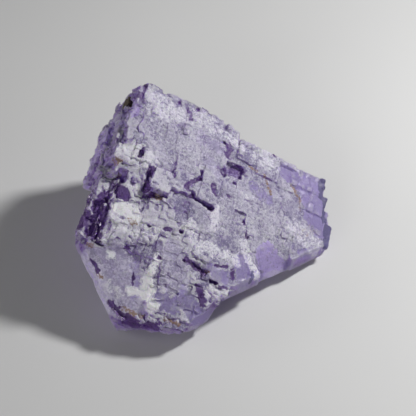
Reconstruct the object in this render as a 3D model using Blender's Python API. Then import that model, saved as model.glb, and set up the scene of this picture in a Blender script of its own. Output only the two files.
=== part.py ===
"""A hand specimen of fluorite: cubes grown together in parallel, with a stepped face and cleaved sides.

Metres, +Z up. The origin is on the surface that the specimen lies on, under the middle of its box.
Sizes below are in millimetres. The cubes share one frame, the lattice, with three axes at right
angles: u runs along the rows of cubes to the right, v to the back, and w stands on the stepped face.
"""

import math
import random

import bmesh
import bpy
from mathutils import Matrix, Vector

MM = 0.001

# The lattice, tilted as the specimen lies: its stepped face leans to the right and to the front.
FACE_AXIS = Vector((0.46, -0.33, 0.824)).normalized()
ROW_AXIS = Vector((0.86, -0.063, -0.505))
ROW_AXIS = (ROW_AXIS - ROW_AXIS.dot(FACE_AXIS) * FACE_AXIS).normalized()
DEEP_AXIS = FACE_AXIS.cross(ROW_AXIS)
FACE_CENTRE = Vector((0.0, -6.2, 18.1))
LATTICE_TURN = Matrix((ROW_AXIS, DEEP_AXIS, FACE_AXIS)).transposed().to_4x4()
LATTICE = Matrix.Translation(FACE_CENTRE) @ LATTICE_TURN

# The stepped face is a low dome that falls away in terraces to the front left.
DOME_CENTRE = (7.0, 8.0)
DOME_FALL = 0.0022
TERRACE_START = 5.0
TERRACE_SLOPE = 0.36

# The big cubes that the mass is made of: where their sides lie along u and v, how far back the
# ones of each row of u reach, and how far right the ones of each row of v reach.
COLUMN_SIDES = (-18.7, -13.4, -7.3, -1.3, 4.2, 10.3, 14.1, 20.0)
COLUMN_BACKS = (21.5, 22.0, 21.5, 20.4, 18.7, 19.3, 17.5, 18.5)
ROW_SIDES = (-32.0, -26.0, -20.0, -14.0, -8.0, -2.0, 4.0, 10.6, 15.0)
ROW_ENDS = (29.0, 29.0, 29.0, 29.0, 29.0, 29.2, 28.6, 26.4, 25.2)
MASS_BOTTOM = -36.0
MASS_UNDER_FACE = 0.8

# Octahedral cleavages, as the signs of u, v and w, and the sum at which each lies.
FRONT_RIGHT = ((1, -1, 1), 22.8)
UNDER_RIGHT = ((1, -1, -1), 35.5)
UNDER_LEFT = ((-1, -1, -1), 45.4)
UNDER_BACK = ((1, 1, -1), 47.0)

# The smooth slope at the front left, and the boxes in which it cuts, as their low and high corners.
FRONT_SLOPE = ((-0.6, -0.6, 1.0), 8.2)
FRONT_SLOPE_BOXES = (((-60, -60, -60), (-4.6, -12.3, 60)), ((-4.7, -60, -60), (60, -17.6, 60)))

# The bevel along the outer edge of the slope, and the low front end.
LEFT_BEVEL = ((-1, -1, 0), 31.6)
FRONT_END = ((0, -1, 0), 24.3)

# The underside steps up to another cleavage in the right half.
UNDERCUT = ((1, -1, -1), 29.2)
UNDERCUT_BOXES = (((9.4, -60, -60), (60, 60, 60)),)

# The left wall ends below in a rough break, through three places in the lattice.
LEFT_BREAK = ((-20.5, -10.0, -12.6), (-20.5, 16.0, -14.6), (-4.0, -2.0, -24.5))

# The smooth hollow facet in the front right rim: its middle, the way it faces, and its size.
RIM_FACET = ((18.0, -3.6, -2.1), (11.0, -13.2, 27.4), 8.6)

# The cubes of mixed sizes that cover the face and, smaller, its terraces: how far apart they stand,
# how far each may be off its place, and the smallest and largest half size.
FACE_CUBES = (4.0, 1.4, 1.5, 3.3)
TERRACE_CUBES = (2.2, 0.6, 1.1, 1.9)
MOSAIC_DEPTH = 6.0
SEED = 29

# The cubes that stand out on the stepped face: middle u and v, size along u and v, and how far
# each stands over the face around it.
PLATES = {
    "peak": (-16.2, 19.9, 3.4, 4.4, 0.4),
    "upper left": (-17.9, 5.2, 4.4, 3.6, 1.0),
    "upper left end": (-15.0, 5.9, 3.4, 2.6, 0.8),
    "left": (-16.0, -1.6, 3.6, 4.4, 0.6),
    "lower left": (-14.9, -6.0, 4.4, 4.2, 0.9),
    "low left": (-17.0, -10.6, 3.4, 4.2, 0.7),
    "centre left": (-9.9, 1.7, 4.3, 4.6, 1.4),
    "centre": (-5.6, 3.4, 4.4, 4.4, 0.8),
    "centre right": (0.2, 5.4, 4.2, 8.2, 0.9),
    "middle": (-8.4, -5.0, 5.0, 4.0, 0.3),
    "back edge": (6.2, 16.4, 3.6, 4.6, 0.8),
    "back right": (11.6, 15.8, 5.2, 5.8, 0.7),
    "right": (16.6, 15.4, 4.2, 6.0, 0.5),
    "right corner": (22.1, 16.6, 6.2, 4.0, 0.7),
    "right edge": (23.6, 12.6, 6.0, 4.6, 0.5),
    "right tip": (27.1, 7.1, 4.8, 5.4, 0.0),
    "low right": (6.6, -10.0, 4.6, 2.6, -0.5),
    "low right end": (12.2, -9.6, 4.4, 4.2, -0.3),
}

# Hollows between the cubes: middle u and v, size along u and v, and depth under the face.
HOLLOWS = {
    "vug": (4.6, 11.4, 4.0, 3.0, 1.6),
    "vug end": (2.4, 9.6, 1.4, 1.8, 1.0),
    "left of centre left": (-12.5, 1.4, 0.8, 4.6, 1.2),
    "under centre left": (-9.8, -1.0, 4.4, 0.6, 1.0),
    "left of centre": (-4.0, 1.0, 3.4, 0.6, 1.0),
    "under centre right": (0.0, 1.0, 4.4, 0.7, 1.2),
    "beside centre right": (2.8, 5.0, 0.9, 1.8, 1.0),
    "in upper left": (-15.3, 6.3, 1.1, 1.6, 1.6),
    "left notch": (-17.0, 0.9, 2.4, 2.2, 3.0),
    "left corner": (-18.4, -3.9, 2.4, 1.6, 2.4),
    "low left corner": (-18.8, -8.4, 1.4, 1.4, 2.2),
    "front crack": (1.2, -11.8, 4.0, 0.8, 1.4),
    "front crack end": (5.6, -13.7, 4.0, 0.9, 1.5),
    "low crack": (-1.0, -18.0, 4.4, 0.7, 1.0),
    "low crack side": (2.6, -16.8, 0.7, 2.4, 1.0),
}

# Ledges of the left wall that show in its outline: from and to along v, bottom, top and how far out.
LEDGES = (
    (15.0, 19.8, -8.0, -2.5, 0.3),
    (12.0, 17.0, -11.6, -6.5, 1.3),
    (8.4, 14.0, -13.8, -9.0, 2.2),
    (1.6, 8.6, -15.2, -8.0, 2.1),
    (-4.0, 2.4, -10.2, -7.4, 1.3),
    (-8.0, -2.6, -11.4, -9.0, 1.7),
    (-11.8, -6.6, -11.6, -9.8, 1.7),
)

# Where the left wall steps in towards its top at the front: from and to along v, and where the
# first of the three steps lies along u and w. The others follow by these amounts.
LEFT_STEPS = ((-14.0, -8.6, -17.3, -8.4), (-8.6, -4.3, -16.9, -7.0), (-4.3, 1.1, -16.6, -5.6))
LEFT_STEP_OUT = 0.9
LEFT_STEP_DOWN = 1.7

# A sliver of dark rock in the left wall near its top: its middle in the lattice and its size.
CHIP_MIDDLE = (-18.9, 19.2, -6.9)
CHIP_SIZE = (1.9, 3.2, 3.6)
CHIP_GAP = 0.32


def new_object(name, fill):
    """An object whose mesh fill makes, in lattice millimetres."""
    bm = bmesh.new()
    fill(bm)
    bmesh.ops.recalc_face_normals(bm, faces=bm.faces)
    mesh = bpy.data.meshes.new(name)
    bm.to_mesh(mesh)
    bm.free()
    obj = bpy.data.objects.new(name, mesh)
    bpy.context.scene.collection.objects.link(obj)
    return obj


def add_box(bm, low, high):
    """A box between two corners."""
    low, high = Vector(low), Vector(high)
    matrix = Matrix.Translation((low + high) / 2) @ Matrix.Diagonal((*(high - low), 1))
    bmesh.ops.create_cube(bm, size=1, matrix=matrix)


def boolean(obj, other, operation, own_overlaps=False):
    """Applies a Boolean of obj with other, and removes other."""
    modifier = obj.modifiers.new(operation.title(), "BOOLEAN")
    modifier.operation = operation
    modifier.use_self = own_overlaps
    modifier.object = other
    graph = bpy.context.evaluated_depsgraph_get()
    obj.data = bpy.data.meshes.new_from_object(obj.evaluated_get(graph))
    obj.modifiers.clear()
    bpy.data.objects.remove(other)


def cut_plane(obj, point, normal, width=140.0):
    """Cuts off what lies beyond a square facet, which is wider than the mass if no width is given."""
    turn = Vector(normal).normalized().to_track_quat("Z", "Y").to_matrix().to_4x4()
    frame = Matrix.Translation(Vector(point)) @ turn @ Matrix.Translation((0, 0, width / 2))

    def fill(bm):
        bmesh.ops.create_cube(bm, size=width, matrix=frame)

    boolean(obj, new_object("cut", fill), "DIFFERENCE")


def cleave(obj, plane):
    """Cuts off what lies beyond a plane given as its normal's parts and their sum."""
    parts, total = plane
    normal = Vector(parts)
    cut_plane(obj, normal * (total / normal.length_squared), normal)


def keep_outside(obj):
    """Fills the sealed hollows, and drops loose crumbs, by keeping only the outermost shell."""
    bm = bmesh.new()
    bm.from_mesh(obj.data)
    left = set(bm.verts)
    shells = []
    while left:
        shell = {left.pop()}
        front = list(shell)
        while front:
            near = {edge.other_vert(vert) for vert in front for edge in vert.link_edges}
            front = [vert for vert in near if vert in left]
            left.difference_update(front)
            shell.update(front)
        shells.append(shell)
    shells.sort(key=len, reverse=True)
    for shell in shells[1:]:
        bmesh.ops.delete(bm, geom=list(shell), context="VERTS")
    bm.to_mesh(obj.data)
    bm.free()


def face_level(u, v):
    """Height of the stepped face over a place on it."""
    dome = -DOME_FALL * ((u - DOME_CENTRE[0]) ** 2 + (v - DOME_CENTRE[1]) ** 2)
    out = (-u - v) / math.sqrt(2) - TERRACE_START
    return dome - TERRACE_SLOPE * max(0.0, out)


def unevenness(u, v):
    """How much neighbouring cubes differ in height: more along the left wall and on the terraces."""
    wall = max(0.0, min(1.0, (-11.0 - u) / 4.0))
    terrace = max(0.0, min(1.0, (-u - v - 6.0) / 10.0))
    return 0.12 + max(0.42 * wall, 0.2 * terrace)


def row_of(sides, place):
    """The number of the row that a place lies in."""
    return max(sum(1 for side in sides if side <= place) - 1, 0)


def column_back(u):
    """How far back the cubes reach at u."""
    return COLUMN_BACKS[row_of(COLUMN_SIDES, u)]


def row_end(v):
    """How far right the cubes reach at v."""
    return ROW_ENDS[row_of(ROW_SIDES, v)]


def fill_mass(bm):
    """The big cubes, each a little lower than the face that the small ones make."""
    lap = 0.03
    for column, left in enumerate(COLUMN_SIDES):
        for row, front in enumerate(ROW_SIDES):
            last_column = column == len(COLUMN_SIDES) - 1
            last_row = row == len(ROW_SIDES) - 1
            right = ROW_ENDS[row] if last_column else COLUMN_SIDES[column + 1] + lap
            back = COLUMN_BACKS[column] if last_row else ROW_SIDES[row + 1] + lap
            top = face_level((left + right) / 2, (front + back) / 2) - MASS_UNDER_FACE
            if left + front < -8.0:
                top -= 0.4
            add_box(bm, (left, front, MASS_BOTTOM), (right, back, top))


def on_terrace(u, v):
    """Whether a place is on the terraces at the front left."""
    return -u - v > TERRACE_START * math.sqrt(2)


def fill_face_cubes(bm, rng, kind, terrace):
    """Cubes of mixed sizes over the stepped face, either on its terraces or on the rest of it."""
    step, jitter, smallest, largest = kind
    u = COLUMN_SIDES[0] + 1.0
    while u < 30.0:
        v = -27.0
        while v < 23.0:
            middle_u = u + rng.uniform(-jitter, jitter)
            middle_v = v + rng.uniform(-jitter, jitter)
            half_u = rng.uniform(smallest, largest)
            half_v = rng.uniform(smallest, largest)
            spread = unevenness(middle_u, middle_v)
            top = face_level(middle_u, middle_v) + rng.uniform(-spread, 0.5 * spread)
            left = max(middle_u - half_u, COLUMN_SIDES[0] - rng.uniform(0.1, 0.7))
            right = min(middle_u + half_u, row_end(middle_v) + rng.uniform(-0.4, 0.3))
            back = min(middle_v + half_v, column_back(middle_u) + rng.uniform(-0.5, 0.4))
            low = (left, middle_v - half_v, top - MOSAIC_DEPTH)
            wide = right - left > 1.0 and back - low[1] > 1.0
            if wide and on_terrace(middle_u, middle_v) == terrace:
                add_box(bm, low, (right, back, top))
            v += step
        u += step


def fill_plates(bm):
    """The named cubes of the stepped face."""
    for u, v, size_u, size_v, lift in PLATES.values():
        top = face_level(u, v) + lift
        low = (u - size_u / 2, v - size_v / 2, top - MOSAIC_DEPTH)
        add_box(bm, low, (u + size_u / 2, v + size_v / 2, top))


def fill_hollows(bm):
    """The named hollows between the cubes."""
    for u, v, size_u, size_v, depth in HOLLOWS.values():
        level = face_level(u, v)
        low = (u - size_u / 2, v - size_v / 2, level - depth)
        add_box(bm, low, (u + size_u / 2, v + size_v / 2, level + 5.0))


def fill_left_steps(bm):
    """The hollows that the stepped part of the left wall leaves."""
    for start, end, u, w in LEFT_STEPS:
        for step in range(3):
            side = u - step * LEFT_STEP_OUT
            add_box(bm, (-40.0, start, w - step * LEFT_STEP_DOWN), (side, end, 10.0 + step))


def fill_ledges(bm, rng):
    """The ledges of the left wall, long ones in its outline and small ones between them."""
    wall = COLUMN_SIDES[0]
    for start, end, bottom, top, out in LEDGES:
        add_box(bm, (wall - out, start, bottom), (wall + 1.4, end, top))
    w = -2.2
    while w > -14.5:
        v = -12.0
        while v < 18.0:
            end = min(v + rng.uniform(2.0, 6.0), 20.2)
            height = rng.uniform(1.0, 2.8)
            out = 0.1 + 0.1 * -w + rng.uniform(-0.4, 0.4)
            middle = w + rng.uniform(-0.6, 0.6)
            top = min(middle + height / 2, face_level(wall, v) - 0.3)
            inside = 2.0 < v < 13.0 or -10.0 < w < face_level(wall, v) - 4.0
            if inside and top - (middle - height / 2) > 0.5:
                add_box(bm, (wall - out, v, middle - height / 2), (wall + 1.4, end, top))
            v += (end - v) * rng.uniform(0.7, 1.1)
        w -= 2.3


def fill_wall_cubes(bm, rng, wall):
    """Cubes that stand out of the back or the right wall."""
    step = 4.8
    along = COLUMN_SIDES[0] + 2.0 if wall == "back" else -10.0
    end = 24.0 if wall == "back" else 17.0
    while along < end:
        w = -4.0
        while w > -30.0:
            middle = along + rng.uniform(-1.5, 1.5)
            level = w + rng.uniform(-1.5, 1.5)
            half_along = rng.uniform(1.5, 3.4)
            half_w = rng.uniform(1.4, 3.2)
            out = rng.uniform(0.2, 1.6)
            if wall == "back":
                side = column_back(middle) - 1.4
                low = (max(middle - half_along, COLUMN_SIDES[0] + 0.4), side - 4.0, level - half_w)
                high = (middle + half_along, side + out, level + half_w)
            else:
                side = row_end(middle) - 1.0
                low = (side - 4.0, middle - half_along, level - half_w)
                high = (side + out, middle + half_along, level + half_w)
            add_box(bm, low, (high[0], high[1], min(high[2], -2.2)))
            w -= step
        along += step


def chip_box(grow):
    """The two corners of the box that the chip fills, grown to all sides."""
    middle, half = Vector(CHIP_MIDDLE), Vector(CHIP_SIZE) / 2
    reach = Vector((grow, grow, grow))
    return middle - half - reach, middle + half + reach


def cleave_in(obj, plane, boxes):
    """Cuts off what lies beyond a plane, but only inside boxes."""
    parts, total = plane
    for low, high in boxes:
        beyond = new_object("beyond", lambda bm, low=low, high=high: add_box(bm, low, high))
        cleave(beyond, (tuple(-part for part in parts), -total))
        boolean(obj, beyond, "DIFFERENCE")


def fluorite():
    """The crystal mass in lattice millimetres."""
    rng = random.Random(SEED)
    obj = new_object("fluorite", fill_mass)

    def cubes(bm):
        fill_face_cubes(bm, rng, FACE_CUBES, terrace=False)
        fill_face_cubes(bm, rng, TERRACE_CUBES, terrace=True)
        fill_plates(bm)
        fill_wall_cubes(bm, rng, "back")
        fill_wall_cubes(bm, rng, "right")

    boolean(obj, new_object("cubes", cubes), "UNION", own_overlaps=True)
    boolean(obj, new_object("hollows", fill_hollows), "DIFFERENCE", own_overlaps=True)
    boolean(obj, new_object("steps", fill_left_steps), "DIFFERENCE", own_overlaps=True)
    for plane in (FRONT_RIGHT, UNDER_RIGHT, UNDER_LEFT, UNDER_BACK, LEFT_BEVEL, FRONT_END):
        cleave(obj, plane)
    cleave_in(obj, FRONT_SLOPE, FRONT_SLOPE_BOXES)
    cleave_in(obj, UNDERCUT, UNDERCUT_BOXES)
    cut_plane(obj, *RIM_FACET)
    one, two, three = (Vector(place) for place in LEFT_BREAK)
    normal = (two - one).cross(three - one)
    if normal.z > 0:
        normal = -normal
    cut_plane(obj, one, normal)
    boolean(obj, new_object("ledges", lambda bm: fill_ledges(bm, rng)), "UNION", own_overlaps=True)
    boolean(obj, new_object("socket", lambda bm: add_box(bm, *chip_box(CHIP_GAP))), "DIFFERENCE")
    keep_outside(obj)
    return obj


def lay_down(objects):
    """Turns the lattice to the way that the specimen lies, cuts its underside flat and scales it."""
    for obj in objects:
        obj.data.transform(LATTICE)
    cut_plane(objects[0], (0, 0, 0), (0, 0, -1))
    points = [vertex.co for vertex in objects[0].data.vertices]
    middle = [(min(p[i] for p in points) + max(p[i] for p in points)) / 2 for i in (0, 1)]
    print("middle", middle, "triangles", sum(len(f.vertices) - 2 for f in objects[0].data.polygons))
    for obj in objects:
        obj.data.transform(Matrix.Scale(MM, 4) @ Matrix.Translation((-middle[0], -middle[1], 0)))


def matrix_chip():
    """The sliver of dark rock, a box with its corners pulled in unevenly."""
    low, high = chip_box(0.0)
    obj = new_object("matrix_chip", lambda bm: add_box(bm, low, high))
    rng = random.Random(SEED)
    for vertex in obj.data.vertices:
        for axis in range(3):
            away = vertex.co[axis] - CHIP_MIDDLE[axis]
            vertex.co[axis] = CHIP_MIDDLE[axis] + away * rng.uniform(0.55, 1.0)
    return obj


def paint(obj, name, colour, roughness):
    """Gives the object a plain material of its own."""
    material = bpy.data.materials.new(name)
    material.use_nodes = True
    shader = material.node_tree.nodes["Principled BSDF"]
    shader.inputs["Base Color"].default_value = (*colour, 1.0)
    shader.inputs["Roughness"].default_value = roughness
    obj.data.materials.clear()
    obj.data.materials.append(material)


def main():
    for obj in list(bpy.data.objects):
        bpy.data.objects.remove(obj)
    crystal = fluorite()
    chip = matrix_chip()
    lay_down([crystal, chip])
    paint(crystal, "frosted violet fluorite", (0.50, 0.44, 0.66), 0.5)
    paint(chip, "dark brown rock", (0.035, 0.024, 0.018), 0.7)


main()
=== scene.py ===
"""Looks of a hand specimen of violet fluorite, built on its solids.

The crystal mass is a copy of its solid with small growth cubes, growth plates, flakes and grain added,
and the sliver of dark rock in its left wall is a copy with a chipped surface. Lengths inside the two
classes are millimetres in the lattice, the frame that all the cubes share: u runs along their rows to
the right, v to the back and w out of the stepped face.
"""

import logging
import math
from dataclasses import dataclass, field
from enum import Enum, IntEnum
from itertools import product
from typing import Callable

import bpy
import numpy as np
from mathutils import Matrix, Vector

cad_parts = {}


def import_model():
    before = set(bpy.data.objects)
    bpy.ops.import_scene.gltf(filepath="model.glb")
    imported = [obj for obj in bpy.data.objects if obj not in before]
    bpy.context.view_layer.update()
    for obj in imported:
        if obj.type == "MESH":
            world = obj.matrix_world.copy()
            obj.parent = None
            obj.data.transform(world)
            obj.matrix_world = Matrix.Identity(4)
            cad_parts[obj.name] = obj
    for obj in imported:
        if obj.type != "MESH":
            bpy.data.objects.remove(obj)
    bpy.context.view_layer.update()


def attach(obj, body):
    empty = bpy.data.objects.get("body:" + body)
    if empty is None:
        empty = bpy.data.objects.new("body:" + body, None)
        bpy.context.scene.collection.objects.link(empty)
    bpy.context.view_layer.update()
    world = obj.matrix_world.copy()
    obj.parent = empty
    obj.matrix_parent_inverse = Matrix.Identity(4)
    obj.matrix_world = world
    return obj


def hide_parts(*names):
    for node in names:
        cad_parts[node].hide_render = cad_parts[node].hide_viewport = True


LOG = logging.getLogger("fluorite")
MM = 0.001

Colour = tuple[float, float, float]
Point = tuple[float, float, float]
Pair = tuple[float, float]


class Zone(Enum):
    """What the surface of the crystal is like in one place, or what light or shade is painted on it there.
    """

    CRUST = "crust"
    VIOLET = "violet"
    CLEAR = "clear"
    RUST = "rust"
    SUGAR = "sugar"
    # Painted shade: dark blue-grey laid on the right edge, the tip and the corner cube.
    PAINTED_SHADE = "dusk"
    # Painted glow: a paler, brighter violet that stands in for light passing through the crystal.
    GLOW = "glow"
    HAZE = "haze"


class Seed(IntEnum):
    """Which noise each kind of edge and relief reads, so that no two are alike."""

    RAGGED = 3
    FINE_RAGGED = 4
    SQUARE = 5
    BENT = 6
    WIDE_BLOCKS = 11
    BLOCKS = 21
    SMALL_BLOCKS = 31
    GRAIN = 41
    SUGAR = 42
    SWELLS = 43
    ROCK = 51
    FINE_ROCK = 52
    PLATES = 61
    SMALL_PLATES = 62
    FINE_PLATES = 63
    FLAKES = 71
    SMALL_FLAKES = 72
    LAYER_BEND = 81
    LAYERS = 82
    FINE_LAYERS = 83
    BENDING = 91
    FINE_BENDING = 93


@dataclass(frozen=True)
class Patch:
    """One named place of the surface: a rounded streak from start to end in the lattice."""

    zone: Zone
    start: Point
    end: Point
    radius: float
    strength: float = 1.0


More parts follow.
